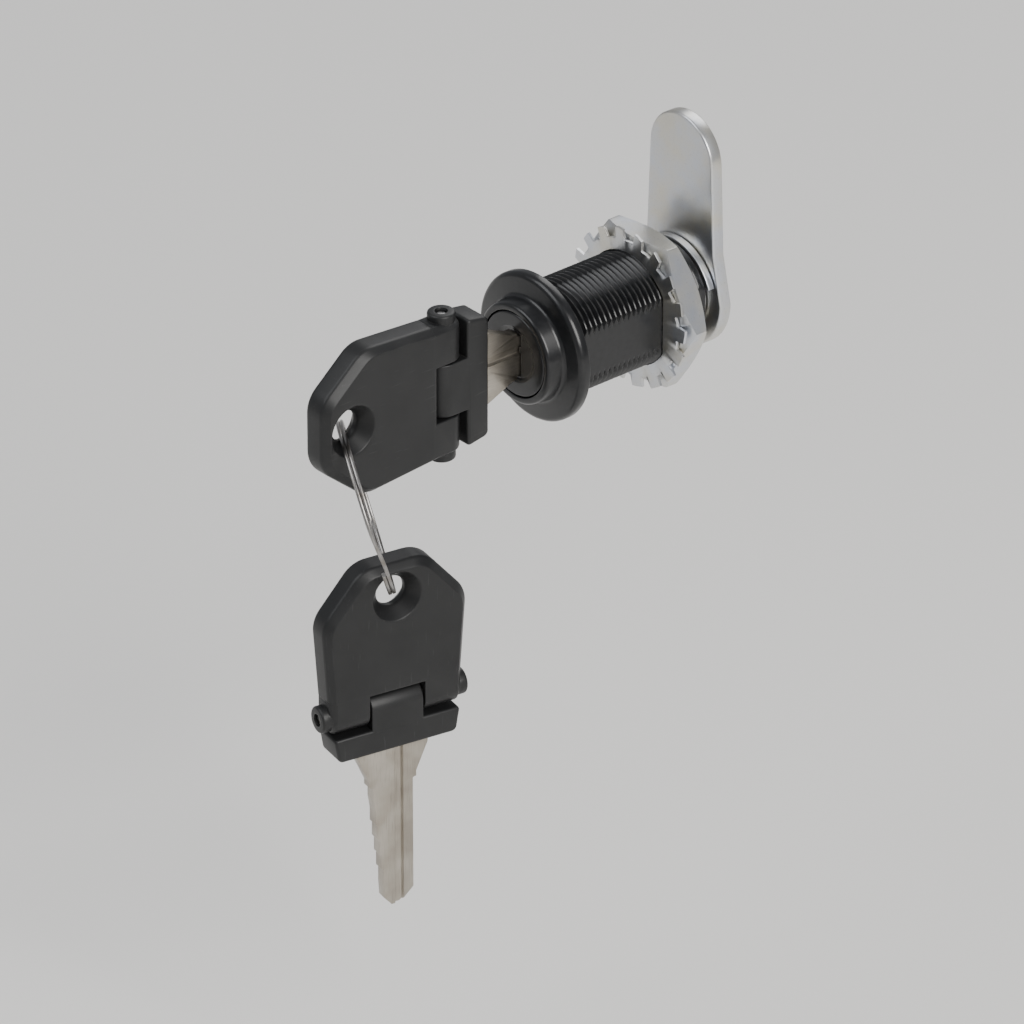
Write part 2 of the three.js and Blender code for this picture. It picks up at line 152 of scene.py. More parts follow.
def threaded(root, crest, pitch, height, angle, run_out):
    """The radius of a screw thread. Its phase is height / pitch + angle / turn. Over one pitch it rises
    from a narrow flat root to a narrow flat crest and falls again, and it dies away to the root at both
    ends."""
    phase = (height / pitch + angle / TURN) % 1
    tooth = np.clip((np.abs(2 * phase - 1) - 0.15) / 0.7, 0, 1)
    inside = np.minimum(height - height.min(), height.max() - height)
    return root + (crest - root) * tooth * np.clip(inside / run_out, 0, 1)


low, high = limits("housing")
FACE_Y = low[1]  # front of the boss and of the plug
FLANGE_R = high[0]
LUG_END = high[1]
BODY_END = 27.0
BORE_R = 6.4
THREAD_ROOT = 8.69
THREAD_CREST = 9.3
THREAD_PITCH = 1.0
FLAT_HALF = 8.0
FLATS_START = 2.0
CHANNEL_REACH = 7.0
CHANNEL_HALF = 3.3
REAR_R = 8.55
LUG_R = (7.8, 9.0)
LUG_HALF_ANGLE = math.radians(20)  # to either side of straight down
GROOVE_Y = (21.5, 23.1)  # ring groove that the retaining wafer turns in

front = rounded(
    [
        (BORE_R, -2.45),
        (7.15, -2.45),
        (7.15, FACE_Y),
        (8.25, FACE_Y),
        (8.55, -2.1),
        (FLANGE_R, -1.75),
        (FLANGE_R, 0),
        (THREAD_ROOT, 0),
        (THREAD_ROOT, 1.2),
    ],
    [0, 0.05, 0.14, 0.6, 0.7, 0.95, 0.12, 0.1, 0],
    closed=False,
)
down = 0.75 * TURN
lug_edges = [down + side * (LUG_HALF_ANGLE + slip) for side in (-1, 1) for slip in (0, 3e-4)]
angle = np.unique(np.concatenate([np.linspace(0, TURN, 216, endpoint=False), lug_edges]))
on_lug = np.abs(angle - down) < LUG_HALF_ANGLE + 1e-4
flat_limit = FLAT_HALF / np.maximum(np.abs(np.cos(angle)), 1e-6)

thread_y = np.arange(1.3, BODY_END - 0.6, THREAD_PITCH / 6)[:, None]
thread_r = threaded(THREAD_ROOT, THREAD_CREST, THREAD_PITCH, thread_y, angle, 1.5)
thread_r = np.where(thread_y > FLATS_START, np.minimum(thread_r, flat_limit), thread_r)

quarter = np.abs((angle + TURN / 8) % (TURN / 4) - TURN / 8)  # angle from the nearest of the four channels
channel_r = np.minimum(CHANNEL_REACH / np.cos(quarter), CHANNEL_HALF / np.maximum(np.sin(quarter), 1e-6))
bore_r = np.maximum(BORE_R, channel_r)
groove_r = np.maximum(CHANNEL_REACH + 0.15, bore_r)

rear_r = np.minimum(REAR_R, flat_limit)
lug_r = np.where(on_lug, LUG_R[1], rear_r)
lug_inner_r = np.where(on_lug, LUG_R[0], rear_r)
lug_y = np.where(on_lug, LUG_END, BODY_END)
rear = [
    (lug_r, BODY_END),
    (lug_r, lug_y - 0.2 * on_lug),
    (lug_r - 0.2 * on_lug, lug_y),
    (lug_inner_r, lug_y),
    (lug_inner_r, BODY_END),
    (bore_r + 0.15, BODY_END),
    (bore_r, BODY_END - 0.15),
    (bore_r, GROOVE_Y[1]),
    (groove_r, GROOVE_Y[1]),
    (groove_r, GROOVE_Y[0]),
    (bore_r, GROOVE_Y[0]),
    (bore_r, -1.5),
    (BORE_R, -1.5),
]
housing = skin(
    "lock_housing",
    np.vstack(
        [laps(front[:, :1], front[:, 1:], angle), laps(thread_r, thread_y, angle)]
        + [laps(radius, height, angle)[None] for radius, height in rear]
    ),
    looped=True,
)


class Signal:
    """One output of a node, with Python's operators adding the Math nodes that work on it."""

    def __init__(self, finish, socket):
        self.finish = finish
        self.socket = socket

    def maths(self, operation, first, second):
        return self.finish.node("Math", {"operation": operation}, {0: first, 1: second})

    def __add__(self, other):
        return self.maths("ADD", self, other)

    def __sub__(self, other):
        return self.maths("SUBTRACT", self, other)

    def __rsub__(self, other):
        return self.maths("SUBTRACT", other, self)

    def __mul__(self, other):
        return self.maths("MULTIPLY", self, other)

    def between(self, start, end):
        """0 below start, 1 above end, and an even slope between them."""
        return self.finish.node("MapRange", {"clamp": True}, {0: self, 1: start, 2: end})

    __radd__ = __add__
    __rmul__ = __mul__


class Finish:
    """A material as it is mixed: its node tree and its shader, with one method that adds any node."""

    def __init__(self, name, **constants):
        self.material = bpy.data.materials.new(name)
        self.material.use_nodes = True
        self.tree = self.material.node_tree
        self.shader = self.tree.nodes["Principled BSDF"]
        self.feed(self.shader, {key.replace("_", " "): value for key, value in constants.items()})

    def feed(self, node, sockets):
        """Gives sockets, by name or number, their values, or links them to a Signal."""
        for key, value in sockets.items():
            if isinstance(value, Signal):
                self.tree.links.new(value.socket, node.inputs[key])
            else:
                node.inputs[key].default_value = value

    def node(self, kind, settings=None, sockets=None, output=0):
        """Adds a node, with its settings first and then its sockets, and returns one of its outputs."""
        made = self.tree.nodes.new("ShaderNode" + kind)
        for key, value in (settings or {}).items():
            setattr(made, key, value)
        self.feed(made, sockets or {})
        return Signal(self, made.outputs[output])

    def noise(self, place, grain, detail=3.0, stretch=None):
        """Noise whose patches are about `grain` millimetres across, longer along an axis whose stretch is
        small."""
        if stretch:
            place = self.node("Mapping", None, {"Vector": place, "Scale": stretch})
        return self.node("TexNoise", None, {"Vector": place, "Scale": 1 / (grain * MM), "Detail": detail})

    def corners(self, reach):
        """1 on a sharp corner, fading to 0 at `reach` millimetres from it: how far the rounded normal
        turns."""
        soft = self.node("Bevel", {"samples": 6}, {"Radius": reach * MM})
        true = self.node("NewGeometry", output="Normal")
        level = self.node("VectorMath", {"operation": "DOT_PRODUCT"}, {0: soft, 1: true}, "Value")
        return (1 - level).between(0.01, 0.16)

    def tint(self, share, below, above):
        """A colour that goes from below to above as share goes from 0 to 1."""
        colours = {6: (*below, 1) if isinstance(below, tuple) else below, 7: (*above, 1)}
        return self.node("Mix", {"data_type": "RGBA"}, {0: share, **colours}, 2)

    def done(self, strength=0.0, height=None, depth=0.02, **sockets):
        """Links the shader's sockets, and a bump `depth` millimetres deep, and returns the material."""
        self.feed(self.shader, {key.replace("_", " "): value for key, value in sockets.items()})
        if height is not None:
            relief = {"Strength": strength, "Distance": depth * MM, "Height": height}
            self.feed(self.shader, {"Normal": self.node("Bump", None, relief)})
        return self.material


def black_plating(name):
    """Black plating on a die casting: deep black with a faint orange peel, rubbed greyer along its
    corners."""
    finish = Finish(name, Metallic=0.2, Specular_IOR_Level=0.4, Coat_Weight=0.3, Coat_Roughness=0.14)
    place = finish.node("TexCoord", output="Object")
    peel = finish.noise(place, 0.9)
    grain = finish.noise(place, 0.16, 2.0)
    worn = finish.corners(0.3) * finish.noise(place, 1.6, 4.0).between(0.42, 0.66)
    colour = finish.tint(peel.between(0.3, 0.7), (0.0050, 0.0053, 0.0060), (0.0095, 0.0098, 0.0108))
    colour = finish.tint(worn * 0.7, colour, (0.090, 0.086, 0.080))
    rough = 0.25 + peel * 0.10 + grain * 0.06 + worn * 0.1
    return finish.done(0.35, peel * 0.75 + grain * 0.25, 0.02, Base_Color=colour, Roughness=rough)


def fitted(piece, material, slot, body, *nodes):
    """Gives a finished piece its material, and puts it on its body in place of its CAD nodes. Its slot
    argument is not used.
    """
    piece.data.materials.clear()
    piece.data.materials.append(material)
    if body:
        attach(piece, body)
    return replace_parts(piece, *nodes)


plating = black_plating("black_plating")
fitted(housing, plating, "black_metal", "lock_housing", "housing")

# ------------------------------------------------------------------------------------------------
# Plug: the turned core that the key's blade goes through. It is slotted for the wafers, with a
# pocket for each wafer's spring, and its square tail carries the stop washer and the cam.
# ------------------------------------------------------------------------------------------------
WAFERS = 5
PLUG_R = 6.25
KEYWAY_HALF = (1.15, 3.7)
RIB_Z = (0.5, 1.5)
RIB_INNER_X = 0.65
SPRING_POCKET_R = 0.9
SPRING_POCKET_FOOT = -3.3
WAFER_SLOT_HALF_X = 3.1
HOOK_SLOT_X = (2.9, 4.65)
HOOK_SLOT_FOOT = 0.3
KEYWAY_END = 17.6
SCREW_HOLE_R = 2.6
SCREW_HOLE_START = 23.8
RETAINER_Y = sum(GROOVE_Y) / 2
RETAINER_SLOT_HALF = (2.72, 0.62)  # across the plug and along it
RETAINER_SLOT_FOOT = -4.8
CLEAR = 7  # outside the plug's side, so that a cut runs right out of it


def wound(outline):
    """The outline run anticlockwise, which is where twice its area, the sum of its cross products, is
    positive."""
    following = np.roll(outline, -1, 0)
    area = (outline[:, 0] * following[:, 1] - outline[:, 1] * following[:, 0]).sum()
    return outline if area > 0 else outline[::-1]


def drawn_in(outline, amount):
    """The outline moved inwards: a point moves along the mean of its two sides' normals, by the amount
    over the cosine between that mean and a side's normal, so that both sides move by the amount."""
    side = np.roll(outline, -1, 0) - outline
    normal = np.stack([-side[:, 1], side[:, 0]], -1)
    normal /= np.linalg.norm(normal, axis=1, keepdims=True)
    mean = normal + np.roll(normal, 1, 0)
    mean /= np.linalg.norm(mean, axis=1, keepdims=True)
    cosine = np.maximum((mean * normal).sum(1, keepdims=True), 0.35)
    return outline + mean * amount / cosine


def eased(start, end, edge, steps=4):
    """Heights and insets of a solid with rounded ends: at an angle a from the end face, the inset is
    edge * (1 - sin a), and the height beyond the end is edge * (1 - cos a)."""
    a = np.linspace(0, TURN / 4, steps)
    inset = edge * (1 - np.sin(a))
    rise = edge * (1 - np.cos(a))
    heights = np.concatenate([start + rise, end - rise[::-1]])
    return np.stack([heights, np.concatenate([inset, inset[::-1]])], -1)


def prism(name, outline, levels, axis):
    """An outline carried along an axis, drawn in at each level by that level's inset. The outline's two
    coordinates are the other two axes, in the order x, y, z."""
    outline = wound(np.asarray(outline, float))
    rings = []
    for height, inset in levels:
        flat = drawn_in(outline, inset)
        rings.append(np.insert(flat, "xyz".index(axis), height, axis=1))
    return skin(name, rings)


def carve(piece, tool, how="DIFFERENCE"):
    """Cuts the tool's solid out of the piece, or joins it on. The tool is used up."""
    step = piece.modifiers.new("carve", "BOOLEAN")
    step.operation = how
    step.solver = "EXACT"
    step.object = tool
    shaped = piece.evaluated_get(bpy.context.evaluated_depsgraph_get())
    mesh = bpy.data.meshes.new_from_object(shaped)
    piece.modifiers.clear()
    used = [piece.data, tool.data]
    piece.data = tidied(mesh)
    bpy.data.objects.remove(tool)
    for old in used:
        bpy.data.meshes.remove(old)
    mesh.name = piece.name
    return piece


def box(name, x, y, z):
    """A plain block between the limits of each axis, for cutting."""
    corners = [(x[0], z[0]), (x[1], z[0]), (x[1], z[1]), (x[0], z[1])]
    return prism(name, corners, [(y[0], 0), (y[1], 0)], "y")


def circle(radius, count=48, middle=(0, 0)):
    """Even points on a circle: the middle plus the radius times the cosine and sine of each angle."""
    turn = np.linspace(0, TURN, count, endpoint=False)
    return np.stack([middle[0] + radius * np.cos(turn), middle[1] + radius * np.sin(turn)], -1)


low, high = limits("plug")
TAIL_END = high[1]
TAIL_HALF = 3.8
wafer_box = [limits(f"wafer_{i + 1}") for i in range(WAFERS)]
wafer_y = [(corner[0][1] + corner[1][1]) / 2 for corner in wafer_box]
slot_half = (wafer_box[0][1][1] - wafer_box[0][0][1]) / 2 + 0.08
spring_box = [limits(f"wafer_spring_{i + 1}") for i in range(WAFERS)]
spring_x = (spring_box[0][0][0] + spring_box[0][1][0]) / 2

profile = rounded(
    [
        (0, FACE_Y + 0.4),
        (4.0, FACE_Y + 0.4),
        (4.7, FACE_Y),
        (high[0], FACE_Y),
        (high[0], -2.6),
        (PLUG_R, -2.6),
        (PLUG_R, BODY_END + 0.1),
        (0, BODY_END + 0.1),
    ],
    [0, 0.25, 0.25, 0.35, 0.05, 0.05, 0.2, 0],
    closed=False,
)
plug = skin("lock_plug", laps(profile[:, :1], profile[:, 1:], np.linspace(0, TURN, 96, endpoint=False)))

half = TAIL_HALF
tail = rounded([(-half, -half), (half, -half), (half, half), (-half, half)], 0.5)
carve(plug, prism("tail", tail, eased(BODY_END - 1, TAIL_END, 0.3), "y"), "UNION")

half_x, half_z = KEYWAY_HALF
right_side = [(half_x, -half_z), (half_x, RIB_Z[0]), (RIB_INNER_X, RIB_Z[0])]
right_side += [(RIB_INNER_X, RIB_Z[1]), (half_x, RIB_Z[1]), (half_x, half_z)]
left_side = [(-x, z) for x, z in reversed(right_side)]
keyway = rounded(right_side + left_side, 0.1, 3)
carve(plug, prism("keyway", keyway, [(FACE_Y - 1, 0), (KEYWAY_END, 0)], "y"))
for i in range(WAFERS):
    run = (wafer_y[i] - slot_half, wafer_y[i] + slot_half)
    pocket = circle(SPRING_POCKET_R, 20, (spring_x, wafer_y[i]))
    carve(plug, box("wafer_slot", (-WAFER_SLOT_HALF_X, WAFER_SLOT_HALF_X), run, (-CLEAR, CLEAR)))
    carve(plug, box("hook_slot", HOOK_SLOT_X, run, (HOOK_SLOT_FOOT, CLEAR)))
    carve(plug, prism("spring_pocket", pocket, [(SPRING_POCKET_FOOT, 0), (CLEAR, 0)], "z"))
half_x, half_y = RETAINER_SLOT_HALF
run = (RETAINER_Y - half_y, RETAINER_Y + half_y)
carve(plug, box("retainer_slot", (-half_x, half_x), run, (RETAINER_SLOT_FOOT, CLEAR)))
hole_run = [(SCREW_HOLE_START, 0), (TAIL_END + 1, 0)]
carve(plug, prism("screw_hole", circle(SCREW_HOLE_R, 40), hole_run, "y"))
fitted(plug, plating, "black_metal", "lock_plug", "plug")

# ------------------------------------------------------------------------------------------------
# Wafers: five stamped brass plates in the plug's slots. The key's edge sits in each window, and
# a hook at the side takes the thrust of a small coil spring, which stands in the plug's pocket.
# ------------------------------------------------------------------------------------------------
WAFER_HALF_X = 3.0
WINDOW_HALF_X = 1.3
WINDOW_TOP = 3.75
BLADE_HALF_Z = 3.5
CUT_STEP = 0.35  # each cut of the key is this much deeper than the one nearer the head
HOOK_Z = (0.6, 1.5)
SPRING_WIRE = 0.13


def stamped_brass(name):
    """Stamped brass: yellow metal with brown tarnish in soft patches and a fine grain from the tool."""
    finish = Finish(name, Metallic=1.0)
    place = finish.node("TexCoord", output="Object")
    tarnish = finish.noise(place, 2.5, 4.0).between(0.40, 0.72)
    grain = finish.noise(place, 0.12, 2.0, (1, 1, 0.12))
    colour = finish.tint(tarnish, (0.63, 0.45, 0.18), (0.40, 0.24, 0.09))
    return finish.done(0.3, grain, 0.01, Base_Color=colour, Roughness=0.24 + tarnish * 0.2 + grain * 0.1)


def drawn_wire(name, bright, temper):
    """Spring wire: steel with the faint marks of drawing, and patches of the colour its tempering left."""
    finish = Finish(name, Metallic=1.0)
    place = finish.node("TexCoord", output="Object")
    patch = finish.noise(place, 1.8, 3.0)
    marks = finish.noise(place, 0.1, 2.0)
    colour = finish.tint(patch.between(0.45, 0.75), bright, temper)
    return finish.done(0.25, marks, 0.008, Base_Color=colour, Roughness=0.2 + patch * 0.14 + marks * 0.08)


def coil(name, middle, bottom, top, radius, wire, turns):
    """A round wire carried up a helix that is close-wound at both ends. At a share s of the way the height is
    s - 0.5 sin(turn * s) / turn of the rise, so the wire climbs half as fast at the ends as a plain helix."""
    s = np.linspace(0, 1, 18 * turns)[:, None]
    a = TURN * turns * s
    around = np.linspace(0, TURN, 8, endpoint=False)
    reach = radius - wire + wire * np.cos(around)
    height = bottom + wire + (top - bottom - 2 * wire) * (s - 0.5 * np.sin(TURN * s) / TURN)
    rings = [middle[0] + reach * np.cos(a), middle[1] + reach * np.sin(a), height + wire * np.sin(around)]
    return skin(name, np.stack(np.broadcast_arrays(*rings), -1))


brass = stamped_brass("stamped_brass")
wire_steel = drawn_wire("drawn_wire", (0.50, 0.50, 0.51), (0.44, 0.41, 0.36))
for i in range(WAFERS):
    low, high = wafer_box[i]
    radius = high[2]
    sweep = math.asin(WAFER_HALF_X / radius)
    arc = np.linspace(-sweep, sweep, 12)
    end = np.stack([radius * np.sin(arc), radius * np.cos(arc)], -1)
    root_x, end_x = WAFER_HALF_X, high[0]
    foot_z, top_z = HOOK_Z
    hook = rounded([(root_x, foot_z), (end_x, foot_z), (end_x, top_z), (root_x, top_z)], 0.12, 3)
    outline = np.vstack([-end[::-1], hook, end[::-1]])
    blank = prism(f"wafer_plate_{i + 1}", outline, eased(low[1], high[1], 0.05, 3), "y")
    bearing = -(BLADE_HALF_Z - CUT_STEP * (i + 1) + 0.1)
    half = WINDOW_HALF_X
    window = rounded([(-half, bearing), (half, bearing), (half, WINDOW_TOP), (-half, WINDOW_TOP)], 0.2)
    carve(blank, prism("window", window, [(low[1] - 1, 0), (high[1] + 1, 0)], "y"))
    fitted(blank, brass, "brass", f"lock_wafer_{i + 1}", f"wafer_{i + 1}")

    low, high = spring_box[i]
    middle = ((low[0] + high[0]) / 2, (low[1] + high[1]) / 2)
    radius = (high[0] - low[0]) / 2
    spring = coil(f"wafer_coil_{i + 1}", middle, low[2], high[2], radius, SPRING_WIRE, 6)
    fitted(spring, wire_steel, "spring_steel", None, f"wafer_spring_{i + 1}")
    foot, crown = [(middle[0] * MM, middle[1] * MM, z * MM) for z in (low[2] + 0.3, high[2] - 0.3)]
    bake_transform(spring)

# ------------------------------------------------------------------------------------------------
# Retaining wafer: a solid brass slip that its spring pushes out into the housing's ring groove.
# It keeps the plug in, and a service key presses it back so that the plug can be changed.
# ------------------------------------------------------------------------------------------------
low, high = limits("retaining_wafer")
sweep = math.asin(high[0] / high[2])
arc = np.linspace(sweep, -sweep, 12)
arch = high[2] * np.stack([np.sin(arc), np.cos(arc)], -1)
outline = np.vstack([[(low[0], low[2]), (high[0], low[2])], arch])
retainer = prism("retaining_slip", outline, eased(low[1], high[1], 0.08, 3), "y")
fitted(retainer, brass, "brass", "retainer", "retaining_wafer")

RETAINING_WIRE = 0.12
low, high = limits("retaining_spring")
middle = ((low[0] + high[0]) / 2, (low[1] + high[1]) / 2)
radius = (high[0] - low[0]) / 2
spring = coil("retaining_slip_spring", middle, low[2], high[2], radius, RETAINING_WIRE, 5)
fitted(spring, wire_steel, "spring_steel", None, "retaining_spring")
foot, crown = [(middle[0] * MM, middle[1] * MM, z * MM) for z in (low[2] + 0.3, high[2] - 0.3)]
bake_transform(spring)

# ------------------------------------------------------------------------------------------------
# Nut and toothed washer: zinc-plated steel. They clamp the board against the flange from behind.
# The washer's teeth are twisted so that they bite, and its hole has the body's two flats.
# ------------------------------------------------------------------------------------------------
TEETH = 18
WASHER_T = 0.5
TOOTH_ROOT = 11.5
TOOTH_TWIST = 0.15
NUT_CHAMFER = math.tan(math.radians(60))


def zinc_plating(name):
    """Bright zinc plating: pale metal with a cloudy, faintly blue and straw film, dulled in fine speckles."""
    finish = Finish(name, Metallic=1.0)
    place = finish.node("TexCoord", output="Object")
    cloud = finish.noise(place, 5.0, 3.0)
    speckle = finish.noise(place, 0.35, 4.0)
    colour = finish.tint(cloud.between(0.35, 0.65), (0.58, 0.60, 0.64), (0.63, 0.61, 0.55))
    colour = finish.tint(speckle.between(0.58, 0.75) * 0.5, colour, (0.40, 0.40, 0.40))
    rough = 0.22 + cloud * 0.12 + speckle * 0.14
    return finish.done(0.3, speckle, 0.015, Base_Color=colour, Roughness=rough)


zinc = zinc_plating("zinc_plating")
low, high = limits("toothed_washer")
middle_y = (low[1] + high[1]) / 2
angle = np.linspace(0, TURN, TEETH * 14, endpoint=False)
hole_r = np.minimum(THREAD_CREST + 0.15, (FLAT_HALF + 0.15) / np.maximum(np.abs(np.cos(angle)), 1e-6))
tooth = np.clip(0.5 + 2.4 * np.cos(TEETH * angle), 0, 1)
tip_r = TOOTH_ROOT + (high[2] - TOOTH_ROOT) * tooth
twist = TOOTH_TWIST * np.sin(TEETH * angle)
half_t = WASHER_T / 2
washer_laps = [
    (hole_r, middle_y - half_t),
    (TOOTH_ROOT - 0.3, middle_y - half_t),
    (tip_r - 0.05, middle_y - half_t + twist),
    (tip_r, middle_y - half_t + twist + 0.06),
    (tip_r, middle_y + half_t + twist - 0.06),
    (tip_r - 0.05, middle_y + half_t + twist),
    (TOOTH_ROOT - 0.3, middle_y + half_t),
    (hole_r, middle_y + half_t),
]
washer_rings = [laps(radius, height, angle) for radius, height in washer_laps]
washer = skin("toothed_lock_washer", washer_rings, looped=True)
fitted(washer, zinc, "zinc_plate", "lock_housing", "toothed_washer")

low, high = limits("hex_nut")
corner = np.linspace(0, TURN, 6, endpoint=False)
across_corners = high[2] / math.cos(TURN / 12)
hexagon = rounded(across_corners * np.stack([np.cos(corner), np.sin(corner)], -1), 0.5)
nut = prism("clamping_nut", hexagon, [(low[1], 0), (high[1], 0)], "y")
angle = np.linspace(0, TURN, 144, endpoint=False)
beyond, widest = 0.5, 14.2
narrow = high[2] - 0.4 - beyond * NUT_CHAMFER
slope_end = (widest - high[2] + 0.4) / NUT_CHAMFER
lathe = [
    (0, low[1] - beyond),
    (narrow, low[1] - beyond),
    (widest, low[1] + slope_end),
    (widest, high[1] - slope_end),
    (narrow, high[1] + beyond),
    (0, high[1] + beyond),
]
carve(nut, skin("chamfer", [laps(radius, height, angle) for radius, height in lathe]), "INTERSECT")
tap_y = np.arange(low[1] - 1.5, high[1] + 1.5, THREAD_PITCH / 8)[:, None]
tap_r = threaded(THREAD_ROOT + 0.08, THREAD_CREST + 0.08, THREAD_PITCH, tap_y, angle, 1.0)
countersink = THREAD_CREST + 0.4 - np.minimum(tap_y - low[1], high[1] - tap_y)
tap = laps(np.maximum(tap_r, np.minimum(countersink, THREAD_CREST + 0.8)), tap_y, angle)
carve(nut, skin("tap", tap))
fitted(nut, zinc, "zinc_plate", "lock_housing", "hex_nut")

# ------------------------------------------------------------------------------------------------
# Cam and its stack: the stop washer, the locking cam and a split spring washer sit on the plug's
# square tail, and a cross-recess screw holds them. All are pressed or turned steel, zinc plated.
# ------------------------------------------------------------------------------------------------
# The notch's two ends, in degrees clockwise from straight up as the user sees it.
STOP_NOTCH = [math.radians(90 - clockwise) for clockwise in (200.5, 69.5)]
STOP_NOTCH_R = 6.6
CAM_HUB_R = 9.6
CAM_TIP_R = 7.2
SQUARE_HALF = 3.9


def square_hole(piece, y):
    """Cuts the square that fits the plug's tail."""
    half = SQUARE_HALF
    square = rounded([(-half, -half), (half, -half), (half, half), (-half, half)], 0.35)
    return carve(piece, prism("square", square, [(y[0] - 1, 0), (y[1] + 1, 0)], "y"))


def arc_points(radius, start, end, count, middle=(0, 0)):
    """Even points on an arc about the middle, from the start angle to the end angle, both included."""
    turn = np.linspace(start, end, count)
    return np.stack([middle[0] + radius * np.cos(turn), middle[1] + radius * np.sin(turn)], -1)


low, high = limits("stop_washer")
rim = arc_points(high[2], STOP_NOTCH[1], STOP_NOTCH[0] + TURN, 72)
notch = arc_points(STOP_NOTCH_R, STOP_NOTCH[0] + TURN, STOP_NOTCH[1] + TURN, 40)
stop = prism("cam_stop_washer", np.vstack([rim, notch]), eased(low[1], high[1], 0.15), "y")
fitted(square_hole(stop, (low[1], high[1])), zinc, "zinc_plate", "lock_plug", "stop_washer")

low, high = limits("cam")
tip_z = high[2] - CAM_TIP_R
hub = arc_points(CAM_HUB_R, 0.5 * TURN, TURN, 48)
tip = arc_points(CAM_TIP_R, 0, 0.5 * TURN, 40, (0, tip_z))
waist = CAM_TIP_R + 0.6
arm = np.vstack([hub, [(waist, 8)], tip, [(-waist, 8)]])
cam = prism("locking_cam", arm, eased(low[1], high[1], 0.35, 5), "y")
fitted(square_hole(cam, (low[1], high[1])), zinc, "zinc_plate", "lock_plug", "cam")

low, high = limits("spring_washer")
WIRE_T = 0.95
outer, inner = high[0], 2.75
section = rounded([(inner, 0), (outer, 0), (outer, WIRE_T), (inner, WIRE_T)], 0.12, 3)
turn = np.linspace(math.radians(96), math.radians(84) + TURN, 72)[:, None]
lift = (high[1] - low[1] - WIRE_T) * (turn - turn[0]) / (turn[-1] - turn[0])
split = skin("split_spring_washer", laps(section[:, 0], low[1] + section[:, 1] + lift, turn))
fitted(split, wire_steel, "spring_steel", "lock_plug", "spring_washer")

low, high = limits("cam_screw")
HEAD_UNDER = 32.4
SCREW_R = 2.45
SCREW_ROOT_R = 2.05
SCREW_TIP_R = 1.6
SCREW_PITCH = 0.8
RECESS_DEPTH = 1.8
angle = np.linspace(0, TURN, 96, endpoint=False)
shank_y = np.arange(low[1] + 0.5, HEAD_UNDER - 0.3, 0.1)[:, None]
shank_r = threaded(SCREW_ROOT_R, SCREW_R, SCREW_PITCH, shank_y, angle, 0.5)
head = rounded(
    [
        (SCREW_ROOT_R, HEAD_UNDER),
        (high[0], HEAD_UNDER),
        (high[0], high[1] - 1.1),
        (3.4, high[1]),
        (0, high[1]),
    ],
    [0, 0.25, 0.9, 1.4, 0],
    closed=False,
    steps=7,
)
screw = skin(
    "cam_fixing_screw",
    np.vstack(
        [
            laps(np.array([[0], [SCREW_TIP_R]]), low[1], angle),
            laps(shank_r, shank_y, angle),
            laps(head[:, :1], head[:, 1:], angle),
        ]
    ),
)
wing, web = 2.3, 0.55
quadrant = [(wing, -web), (wing, web), (web, web)]
cross = [(x * c - z * s, x * s + z * c) for c, s in ((1, 0), (0, 1), (-1, 0), (0, -1)) for x, z in quadrant]
recess = [(high[1] - RECESS_DEPTH, 0.3), (high[1] + 0.5, 0)]
carve(screw, prism("recess", cross, recess, "y"))
fitted(screw, zinc, "zinc_plate", "lock_plug", "cam_screw")

# ------------------------------------------------------------------------------------------------
# Keys: both are alike. The blade is nickel-plated steel, moulded into a small black block, and a
# black grip folds to either side of it on a steel pin. A flared hole near the far end takes the ring.
# Each is made as it stands in the keyway, and a copy is turned and moved to hang from the ring.
# ------------------------------------------------------------------------------------------------
low, high = limits("main_key_grip")
FAR_Y = low[1]
BUMP_END = high[2]
HEAD_HALF_T = high[0]
HINGE_Y = joints["main_key_fold"]["pos_m"][1] / MM
HINGE_GAP = 3.0
KNUCKLE_HALF = 4.5
PIN_R = 0.95
PIN_HOLE_R = 1.05
HOLE_Y = joints["ring_swing"]["pos_m"][1] / MM
HOLE_THROAT_R = 2.5
HOLE_MOUTH_R = 4.25


def nickel_with_painted_wood_reflection(name):
    """Nickel plating on a milled blade, with fine lengthwise scratches, duller in handling. Its base colour is
    darker and warmer than clean nickel: a painted reflection of a wooden room."""
    finish = Finish(name, Metallic=1.0)
    place = finish.node("Attribute", {"attribute_name": "key_place"}, output="Vector")
    scratch = finish.noise(place, 0.09, 3.0, (1, 0.02, 1))
    scuff = finish.noise(place, 1.4, 4.0, (1, 0.4, 1))
    cloud = finish.noise(place, 5.0, 2.0)
    # Both tones are painted reflection: clean nickel darkened and warmed as if it mirrored a wooden room.
    colour = finish.tint(cloud.between(0.35, 0.65), (0.47, 0.435, 0.38), (0.36, 0.325, 0.275))
    colour = finish.tint(scratch.between(0.56, 0.74) * 0.6, colour, (0.19, 0.17, 0.145))
    rough = 0.20 + scuff * 0.16 + scratch * 0.12
    return finish.done(0.5, scratch * 0.7 + scuff * 0.3, 0.012, Base_Color=colour, Roughness=rough)


def moulded_black(name):
    """Moulded black plastic: a fine spark-eroded grain, polished and a little greyed where fingers rub it."""
    finish = Finish(name, Specular_IOR_Level=0.34, Coat_Roughness=0.28)
    place = finish.node("Attribute", {"attribute_name": "key_place"}, output="Vector")
    grain = finish.noise(place, 0.11, 2.0)
    smear = finish.noise(place, 6.0, 4.0)
    hair = finish.noise(place, 0.16, 2.0, (1, 0.03, 0.4)).between(0.66, 0.74)
    rubbed = finish.corners(0.45) * smear.between(0.38, 0.62)
    colour = finish.tint(smear.between(0.3, 0.7), (0.0055, 0.0058, 0.0062), (0.0105, 0.0107, 0.0110))
    colour = finish.tint(rubbed * 0.5 + hair * 0.3, colour, (0.050, 0.050, 0.050))
    rough = 0.40 + smear * 0.10 + grain * 0.06 - rubbed * 0.14
    gloss = 0.12 + rubbed * 0.2
    return finish.done(0.45, grain, 0.02, Base_Color=colour, Roughness=rough, Coat_Weight=gloss)


